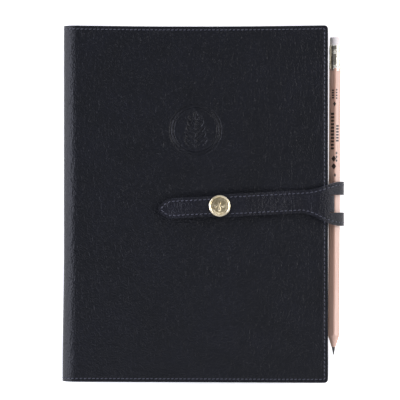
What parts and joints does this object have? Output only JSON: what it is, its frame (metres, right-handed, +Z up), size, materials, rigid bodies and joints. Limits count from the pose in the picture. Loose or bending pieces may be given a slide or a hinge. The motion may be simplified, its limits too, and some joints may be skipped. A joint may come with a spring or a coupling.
{
  "type": "leather notebook cover",
  "caption": "Closed dark leather notebook cover with a rounded spine, stitched edges, a paper refill, a snapped strap that forks round a pencil, and the pencil itself.",
  "frame": {"origin": "centre of the whole object's footprint, at the underside of the sewn strap end", "axes": "+X from the spine to the fore edge and the pencil, +Y along the spine to the head of the pages, +Z up through the closed cover's thickness, out of its front"},
  "size_m": [0.1716, 0.217, 0.0265],
  "materials": {
    "leather": "semi-matte pebbled, dyed very dark navy",
    "lining": "matte suede side of a thin dark split",
    "thread": "waxed black polyester thread",
    "card": "uncoated dark grey card",
    "binding": "glued book muslin",
    "pages": "uncoated ivory writing paper",
    "snap_brass": "lightly antiqued pale brass",
    "spring_steel": "bright drawn wire",
    "pencil_wood": "clear-lacquered pale cedar",
    "graphite": "pointed graphite",
    "ferrule": "pale gold anodised and rolled",
    "eraser": "soft white, slightly dusty"
  },
  "bodies": {
    "back": {"back_leather": "leather", "back_lining": "lining", "back_pocket_flap": "lining", "back_seam_thread": "thread", "refill_back_card": "card", "refill_binding": "binding", "signature_01": "pages", "signature_02": "pages", "signature_03": "pages", "signature_04": "pages", "signature_05": "pages", "signature_06": "pages", "signature_07": "pages", "signature_08": "pages", "strap_base_face": "leather", "strap_base_backing": "leather", "strap_base_thread": "thread"},
    "spine": {"spine_leather": "leather", "spine_lining": "lining", "spine_seam_thread": "thread", "refill_spine_card": "card"},
    "front": {"front_leather": "leather", "front_lining": "lining", "front_pocket_flap": "lining", "front_seam_thread": "thread", "refill_front_card": "card", "snap_stud": "snap_brass", "snap_rivet": "snap_brass"},
    "leaves": {"signature_09": "pages", "signature_10": "pages"},
    "tongue": {"strap_tongue_face": "leather", "strap_tongue_backing": "leather", "strap_tongue_thread": "thread", "snap_cap": "snap_brass", "snap_socket": "snap_brass", "snap_spring": "spring_steel"},
    "pencil": {"pencil_barrel": "pencil_wood", "pencil_lead": "graphite", "pencil_ferrule": "ferrule", "pencil_eraser": "eraser"}
  },
  "joints": [
    {"name": "spine_fold", "type": "hinge", "parent": "back", "child": "spine", "pos_m": [-0.08377, 0, 0.00403], "axis": [0, -1, 0], "range_deg": [0, 90]},
    {"name": "cover_fold", "type": "hinge", "parent": "spine", "child": "front", "pos_m": [-0.08377, 0, 0.01837], "axis": [0, -1, 0], "range_deg": [0, 90]},
    {"name": "leaves_turn", "type": "hinge", "parent": "back", "child": "leaves", "pos_m": [-0.07965, 0, 0.01517], "axis": [0, -1, 0], "range_deg": [0, 175]},
    {"name": "strap_lift", "type": "hinge", "parent": "back", "child": "tongue", "pos_m": [0.0757, 0, 0.0227], "axis": [0, 1, 0], "range_deg": [0, 170]},
    {"name": "pencil_slide", "type": "slide", "parent": "back", "child": "pencil", "axis": [0.0052, 1, 0], "range_m": [0, 0.11]}
  ],
  "couplings": [
    {"joint": "spine_fold", "follows": "cover_fold", "ratio": 1},
    {"joint": "leaves_turn", "follows": "cover_fold", "ratio": 1.9}
  ]
}
